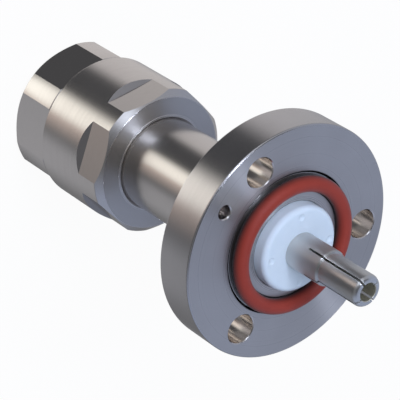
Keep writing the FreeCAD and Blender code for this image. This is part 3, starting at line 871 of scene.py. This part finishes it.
def on_flat(normal, first_angle):
    """Whether a normal points square out of one of the six wrench flats."""
    turned = math.degrees(math.atan2(normal.y, normal.x)) - first_angle
    off = (turned + 0.5 * FLAT_PITCH) % FLAT_PITCH - 0.5 * FLAT_PITCH
    return abs(normal.z) < SQUARE_WITHIN and abs(off) < ANGLE_WITHIN


def on_ramp(radius, height, normal):
    """Whether a face is in a ramp at the rear end of a wrench flat."""
    return (
        radius > RAMP_INSIDE
        and RAMP_BOTTOM < height < SLEEVE_FLAT_START
        and RAMP_TILT < normal.z < END_FACE_TILT
    )


# Plating over a milled flat: nearly a mirror, so each flat takes one even tone of the studio.
milled_plating = cut_plate(
    "milled_bright_plated_brass", PLATE_COLOURS, roughness=(0.07, 0.1), pitch=1.6
)
# Where the cutter ran out the plating is rougher and duller, and drawn in a darker grey.
run_out_plating = cut_plate(
    "milled_run_out_plated_brass", ("#bdbab9", "#b1aeac"), roughness=(0.32, 0.38), pitch=0.8
)
# The sleeve's face was cut with a coarser feed, so its plating throws a wider fan of light.
sleeve_face = turned_plate(
    "faced_plated_brass_sleeve",
    PLATE_COLOURS,
    roughness=(0.29, 0.31),
    groove=0.25,
    depth=0.0005,
    spread=0.9,
    haze=0.7,
)
sleeve = turn_piece("body_sleeve_turned", SLEEVE_OUTLINE)
break_edges(sleeve, SLEEVE_BREAK)
flat_mill = flat_cutter(SLEEVE_CUT, FLAT_HALF_WIDTH)
cut_away(sleeve, place_cutter(flat_mill, 0.0, SLEEVE_FLAT_ANGLE, FLAT_COUNT))
shade_crisp(sleeve)
sleeve.data.materials.append(turned_side)
finish_faces(sleeve, sleeve_face, end_face)
finish_faces(sleeve, run_out_plating, on_ramp)
finish_faces(
    sleeve,
    milled_plating,
    lambda radius, height, normal: radius > SLEEVE_FLAT_INSIDE and on_flat(normal, SLEEVE_FLAT_ANGLE),
)
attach(sleeve, "root")
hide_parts("body_sleeve")

# Back nut
# The gland nut that closes the cable end: turned and plated brass, with six flats milled along its
# full length. Its spigot runs inside the body sleeve.

NUT_OUTLINE = (
    (14.7, 0.0),
    (16.85, 0.0),
    (18.2, 1.5),
    (18.2, 12.95),
    (17.95, 13.2),
    (15.6, 13.2),
    (15.6, 15.4),
    (15.95, 15.4),
    (15.95, 21.5),
    (14.8, 21.5),
    (14.8, 2.5),
    (14.2, 2.5),
    (14.2, 0.5),
)
NUT_BREAK = 0.1
NUT_FLAT_DISTANCE = 16.95
NUT_FLAT_ANGLE = 57.0
NUT_FLAT_INSIDE = 16.9
SAME_PLACE_WITHIN = 0.0001

nut = turn_piece("back_nut_turned", NUT_OUTLINE)
break_edges(nut, NUT_BREAK)
bpy.ops.object.mode_set(mode="EDIT")
for count in range(FLAT_COUNT):
    angle = math.radians(NUT_FLAT_ANGLE + FLAT_PITCH * count)
    across = (math.cos(angle), math.sin(angle), 0.0)
    bpy.ops.mesh.select_all(action="SELECT")
    bpy.ops.mesh.bisect(
        plane_co=[NUT_FLAT_DISTANCE * MM * part for part in across],
        plane_no=across,
        use_fill=True,
        clear_outer=True,
        threshold=SAME_PLACE_WITHIN * MM,
    )
bpy.ops.object.mode_set(mode="OBJECT")
shade_crisp(nut)
nut.data.materials.append(turned_side)
finish_faces(nut, turned_face, end_face)
finish_faces(
    nut,
    milled_plating,
    lambda radius, height, normal: radius > NUT_FLAT_INSIDE and on_flat(normal, NUT_FLAT_ANGLE),
)
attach(nut, "root")
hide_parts("back_nut")

# Cable clamp and contacts
# Inside the nut and sleeve: a silver-plated contact ring, cable contact and six clamp segments held by
# a spring, a plain brass pressure sleeve and a black rubber gasket. The solids are kept as they are.

# Moulded black rubber: deep satin grey that hardly mirrors anything.
black_rubber = moulded_rubber(
    "moulded_black_rubber", ("#1b1b1c", "#262627"), roughness=(0.5, 0.7), sheen=0.05
)
# Turned brass without plating: warm yellow with soft bands round it.
bare_brass = turned_plate(
    "turned_bare_brass",
    ("#c9a35e", "#b98f4b"),
    roughness=(0.28, 0.36),
    groove=0.25,
    depth=0.001,
    spread=0.4,
)
# Drawn spring wire: a neutral grey metal with a dull shine.
spring_steel = turned_plate(
    "drawn_spring_steel",
    ("#a9abad", "#98999b"),
    roughness=(0.3, 0.38),
    groove=0.2,
    depth=0.001,
    spread=0.3,
)
INNER_FINISH = {
    "outer_contact_ring": silver,
    "cable_contact": silver,
    "clamp_segment_1": silver,
    "clamp_segment_2": silver,
    "clamp_segment_3": silver,
    "clamp_segment_4": silver,
    "clamp_segment_5": silver,
    "clamp_segment_6": silver,
    "pressure_sleeve": bare_brass,
    "retaining_ring": spring_steel,
    "segment_spring": spring_steel,
    "jacket_gasket": black_rubber,
    "body_seal_ring": black_rubber,
}
for node_name, finish in INNER_FINISH.items():
    finish_solid(node_name, finish)

# Studio
# A pale floor under a white surround. The metal shows a soft studio instead: a warm light strip with a
# dark gap beside it, pale walls, a dark ceiling and a soft box. Two cool panels light what is matt, and a
# small one that the metal does show draws the streaks across the turned faces.

WHITE = "#ffffff"
FLOOR_SIZE = 4.0
FLOOR_DROP = 0.1
FLOOR_COLOUR = "#f2f3f5"
FLOOR_GRAIN = 2.0
FLOOR_GLOW = 0.95


def eye_rays(tree):
    """Gives the kinds of rays, and whether one comes straight from the eye or through something clear."""
    rays = add_node(tree, "ShaderNodeLightPath")
    seen = add_node(
        tree,
        "ShaderNodeMath",
        {0: rays.outputs["Is Camera Ray"], 1: rays.outputs["Is Transmission Ray"]},
        operation="MAXIMUM",
    )
    return rays, seen


bpy.ops.object.select_all(action="DESELECT")
bpy.ops.mesh.primitive_grid_add(
    x_subdivisions=4, y_subdivisions=4, size=FLOOR_SIZE, location=(0.0, 0.0, -FLOOR_DROP * MM)
)
floor = bpy.context.object
floor.name = "floor"
floor.visible_glossy = False
# Pale card under the part: white to the eye, with a faint soft shadow, and clear from below.
floor_card, tree = new_material("pale_floor_card")
rays, seen = eye_rays(tree)
seen_or_mirrored = add_node(
    tree,
    "ShaderNodeMath",
    {0: seen.outputs[0], 1: rays.outputs["Is Glossy Ray"]},
    operation="MAXIMUM",
)
share = add_node(
    tree, "ShaderNodeMath", {0: seen_or_mirrored.outputs[0], 1: FLOOR_GLOW}, operation="MULTIPLY"
)
place = add_node(tree, "ShaderNodeTexCoord")
grain = add_node(
    tree,
    "ShaderNodeTexNoise",
    {"Vector": place.outputs["Object"], "Scale": 1.0 / (FLOOR_GRAIN * MM), "Detail": 3.0},
)
card = add_node(
    tree,
    "ShaderNodeMix",
    {0: grain.outputs["Fac"], 6: linear(FLOOR_COLOUR), 7: linear(WHITE)},
    data_type="RGBA",
)
paper = add_node(tree, "ShaderNodeBsdfDiffuse", {"Color": card.outputs[2]})
glow = add_node(tree, "ShaderNodeEmission", {"Color": linear(WHITE), "Strength": 1.0})
white_card = add_node(
    tree,
    "ShaderNodeMixShader",
    {0: share.outputs[0], 1: paper.outputs[0], 2: glow.outputs[0]},
)
side = add_node(tree, "ShaderNodeNewGeometry")
clear = add_node(tree, "ShaderNodeBsdfTransparent")
from_above = add_node(
    tree,
    "ShaderNodeMixShader",
    {0: side.outputs["Backfacing"], 1: white_card.outputs[0], 2: clear.outputs[0]},
)
add_node(tree, "ShaderNodeOutputMaterial", {"Surface": from_above.outputs[0]})
floor.data.materials.append(floor_card)

# The studio's tones.
WARM_STRIP = "#fffcf4"
WARM_EDGE = "#b8a8a0"
PALE_WALL = "#b0acac"
GREY_WALL = "#909094"
DIM_WALL = "#646466"
DARK_GAP = "#404042"
COOL_WALL = "#8890a4"
COOL_PANEL = "#c8ccd8"
# What the metal mirrors at four heights: the compass angles, in degrees, where each panel begins and ends.
# The first tone of a ring closes it.
LOW_WALL = (
    (0.0, PALE_WALL),
    (60.0, PALE_WALL),
    (80.0, DARK_GAP),
    (125.0, DARK_GAP),
    (140.0, WARM_STRIP),
    (160.0, WARM_STRIP),
    (170.0, WARM_EDGE),
    (195.0, DIM_WALL),
    (215.0, GREY_WALL),
    (250.0, GREY_WALL),
    (290.0, DIM_WALL),
    (320.0, DIM_WALL),
    (345.0, GREY_WALL),
)
MIDDLE_WALL = (
    (0.0, GREY_WALL),
    (50.0, GREY_WALL),
    (80.0, DARK_GAP),
    (130.0, DARK_GAP),
    (150.0, WARM_EDGE),
    (170.0, DARK_GAP),
    (190.0, DARK_GAP),
    (220.0, DIM_WALL),
    (300.0, DIM_WALL),
    (320.0, GREY_WALL),
)
HIGH_WALL = (
    (0.0, COOL_WALL),
    (85.0, GREY_WALL),
    (105.0, COOL_PANEL),
    (125.0, COOL_PANEL),
    (150.0, GREY_WALL),
    (170.0, DIM_WALL),
    (205.0, DIM_WALL),
    (240.0, COOL_WALL),
)
CEILING = (
    (0.0, COOL_WALL),
    (40.0, DARK_GAP),
    (210.0, DARK_GAP),
    (270.0, COOL_WALL),
)
# How far up the view each blend from one ring to the next begins and ends, from -1, straight down, to 1.
FOOT_BLEND = (-0.715, -0.65)
WALL_BLEND = (-0.25, 0.15)
CEILING_BLEND = (0.67, 0.73)

world = bpy.data.worlds.new("studio")
world.use_nodes = True
bpy.context.scene.world = world
tree = world.node_tree
tree.nodes.clear()
look = add_node(tree, "ShaderNodeTexCoord")
toward = add_node(tree, "ShaderNodeSeparateXYZ", {0: look.outputs["Generated"]})
compass = add_node(
    tree, "ShaderNodeMath", {0: toward.outputs["Y"], 1: toward.outputs["X"]}, operation="ARCTAN2"
)
whole_turn = add_node(
    tree, "ShaderNodeMath", {0: compass.outputs[0], 1: TURN}, operation="ADD"
)
turn_share = add_node(
    tree, "ShaderNodeMath", {0: whole_turn.outputs[0], 1: TURN}, operation="DIVIDE"
)
around = add_node(tree, "ShaderNodeMath", {0: turn_share.outputs[0]}, operation="FRACT")
tones = []
for stops in (LOW_WALL, MIDDLE_WALL, HIGH_WALL, CEILING):
    ramp = add_node(tree, "ShaderNodeValToRGB", {"Fac": around.outputs[0]})
    ring = ramp.color_ramp.elements
    ring[0].color = linear(stops[0][1])
    ring[1].color = linear(stops[0][1])
    for degrees, colour in stops[1:]:
        ring.new(degrees / 360.0).color = linear(colour)
    tones.append(ramp.outputs["Color"])
blends = []
for lower_edge, upper_edge in (FOOT_BLEND, WALL_BLEND, CEILING_BLEND):
    blend = add_node(
        tree,
        "ShaderNodeMapRange",
        {"Value": toward.outputs["Z"], "From Min": lower_edge, "From Max": upper_edge},
    )
    blends.append(blend.outputs["Result"])
studio_tones = tones[0]
for blend_share, tones_above in zip(blends, tones[1:]):
    joined = add_node(
        tree,
        "ShaderNodeMix",
        {0: blend_share, 6: studio_tones, 7: tones_above},
        data_type="RGBA",
    )
    studio_tones = joined.outputs[2]

SOFT_BOX_DIRECTION = (-0.312, 0.700, 0.643)
SOFT_BOX_COLOUR = "#e6eeff"
SOFT_BOX_STRENGTH = 1.35
SOFT_BOX_EDGE = math.cos(math.radians(17.0))
SOFT_BOX_CORE = math.cos(math.radians(4.0))
near_box = add_node(
    tree,
    "ShaderNodeVectorMath",
    {0: look.outputs["Generated"], 1: SOFT_BOX_DIRECTION},
    operation="DOT_PRODUCT",
)
box_share = add_node(
    tree,
    "ShaderNodeMapRange",
    {"Value": near_box.outputs["Value"], "From Min": SOFT_BOX_EDGE, "From Max": SOFT_BOX_CORE},
    interpolation_type="SMOOTHSTEP",
)

LOW_WALL_STRENGTH = 1.52
WALL_STRENGTH = 1.33
AMBIENT_COLOUR = "#a4aec4"
AMBIENT_LOW = 0.2
AMBIENT_HIGH = 0.75
wall_light = add_node(
    tree,
    "ShaderNodeMapRange",
    {"Value": blends[0], "To Min": LOW_WALL_STRENGTH, "To Max": WALL_STRENGTH},
)
mirrored = add_node(
    tree,
    "ShaderNodeBackground",
    {"Color": studio_tones, "Strength": wall_light.outputs["Result"]},
)
box = add_node(
    tree,
    "ShaderNodeBackground",
    {"Color": linear(SOFT_BOX_COLOUR), "Strength": SOFT_BOX_STRENGTH},
)
room = add_node(
    tree,
    "ShaderNodeMixShader",
    {0: box_share.outputs["Result"], 1: mirrored.outputs[0], 2: box.outputs[0]},
)
height_light = add_node(
    tree,
    "ShaderNodeMapRange",
    {
        "Value": toward.outputs["Z"],
        "From Min": 0.0,
        "From Max": 1.0,
        "To Min": AMBIENT_LOW,
        "To Max": AMBIENT_HIGH,
    },
)
ambient = add_node(
    tree,
    "ShaderNodeBackground",
    {"Color": linear(AMBIENT_COLOUR), "Strength": height_light.outputs["Result"]},
)
rays, seen = eye_rays(tree)
light_on_part = add_node(
    tree,
    "ShaderNodeMixShader",
    {0: rays.outputs["Is Glossy Ray"], 1: ambient.outputs[0], 2: room.outputs[0]},
)
white_surround = add_node(
    tree, "ShaderNodeBackground", {"Color": linear(WHITE), "Strength": 1.0}
)
surround = add_node(
    tree,
    "ShaderNodeMixShader",
    {0: seen.outputs[0], 1: light_on_part.outputs[0], 2: white_surround.outputs[0]},
)
add_node(tree, "ShaderNodeOutputWorld", {"Surface": surround.outputs[0]})

LAMP_COLOUR = "#dfe8ff"
LAMP_AIM = (0.0, 0.0, 0.05)


def panel_lamp(name, azimuth, elevation, distance, width, power, mirrored):
    """A square panel lamp that looks at the object from a direction, and may show in the metal."""
    data = bpy.data.lights.new(name, "AREA")
    data.shape = "SQUARE"
    data.size = width
    data.energy = power
    data.color = linear(LAMP_COLOUR)[:3]
    lamp = bpy.data.objects.new(name, data)
    bpy.context.scene.collection.objects.link(lamp)
    level = math.cos(math.radians(elevation))
    toward = Vector(
        (
            level * math.cos(math.radians(azimuth)),
            level * math.sin(math.radians(azimuth)),
            math.sin(math.radians(elevation)),
        )
    )
    lamp.location = Vector(LAMP_AIM) + toward * distance
    lamp.rotation_euler = toward.to_track_quat("Z", "Y").to_euler()
    lamp.visible_glossy = mirrored


# Each line gives a name, compass angle, angle above the horizon, distance and width in metres, power in
# watts, and whether the metal shows it.
PANELS = (
    ("key_panel", 122.0, 40.0, 0.8, 0.4, 3.4, False),
    ("top_panel", 200.0, 85.0, 1.0, 0.5, 2.1, False),
    ("streak_panel", 105.0, 62.0, 1.0, 0.14, 1.6, True),
)
for panel in PANELS:
    panel_lamp(*panel)

# Camera
# A long lens that looks down on the flange from the photograph's side, so that turned edges show as the
# same ellipses.

CAMERA_PLACE = (-0.2915621, 0.2004594, 0.3946504)
CAMERA_TURN = (0.9197868, -0.2166852, -0.3264617, -0.0215064)
CAMERA_LENS = 189.0
SENSOR_WIDTH = 36.0
NEAREST = 0.01
FARTHEST = 20.0

camera_data = bpy.data.cameras.new("camera")
camera_data.lens = CAMERA_LENS
camera_data.sensor_width = SENSOR_WIDTH
camera_data.clip_start = NEAREST
camera_data.clip_end = FARTHEST
camera = bpy.data.objects.new("camera", camera_data)
bpy.context.scene.collection.objects.link(camera)
camera.location = CAMERA_PLACE
camera.rotation_mode = "QUATERNION"
camera.rotation_quaternion = Quaternion(CAMERA_TURN)
bpy.context.scene.camera = camera
bpy.context.scene.view_settings.view_transform = "Standard"
